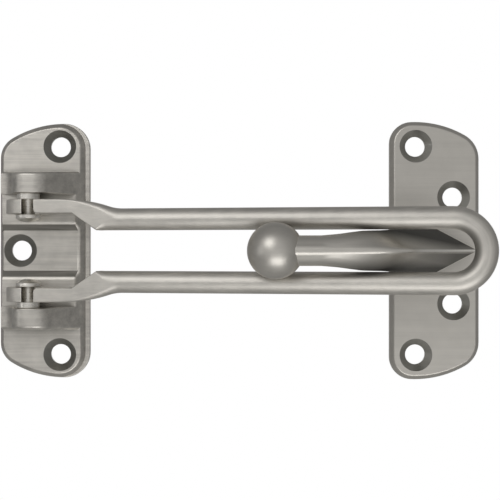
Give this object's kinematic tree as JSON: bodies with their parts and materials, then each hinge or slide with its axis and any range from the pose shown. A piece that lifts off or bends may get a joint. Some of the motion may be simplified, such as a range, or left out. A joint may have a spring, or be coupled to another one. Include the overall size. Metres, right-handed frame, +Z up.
{
  "type": "swing bar door guard",
  "caption": "Surface-mounted door guard: a hinged U-shaped bar on a bracket with lugs, and a strike plate with a ball-ended horn that the bar's loop traps.",
  "frame": {"origin": "middle of the base bracket's back face, on the surface it is screwed to", "axes": "+X from the base bracket towards the strike, along the closed bar; +Y into the door and frame; +Z up, along the pins"},
  "size_m": [0.1226, 0.0354, 0.065],
  "materials": {
    "satin_nickel": "warm grey satin nickel, finely brushed along the faces",
    "pin_metal": "satin nickel, turned"
  },
  "bodies": {
    "base": {"base_bracket": "satin_nickel", "upper_pin": "pin_metal", "lower_pin": "pin_metal", "upper_washer": "pin_metal", "lower_washer": "pin_metal"},
    "swing_bar": {"swing_bar": "satin_nickel"},
    "strike": {"strike": "satin_nickel"}
  },
  "joints": [
    {"name": "bar_swing", "type": "hinge", "parent": "base", "child": "swing_bar", "pos_m": [-0.0025, -0.0101, 0], "axis": [0, 0, -1], "range_deg": [0, 168]},
    {"name": "strike_slide", "type": "slide", "parent": "swing_bar", "child": "strike", "axis": [0.9863, -0.165, 0], "range_m": [-0.041, 0.008]}
  ]
}
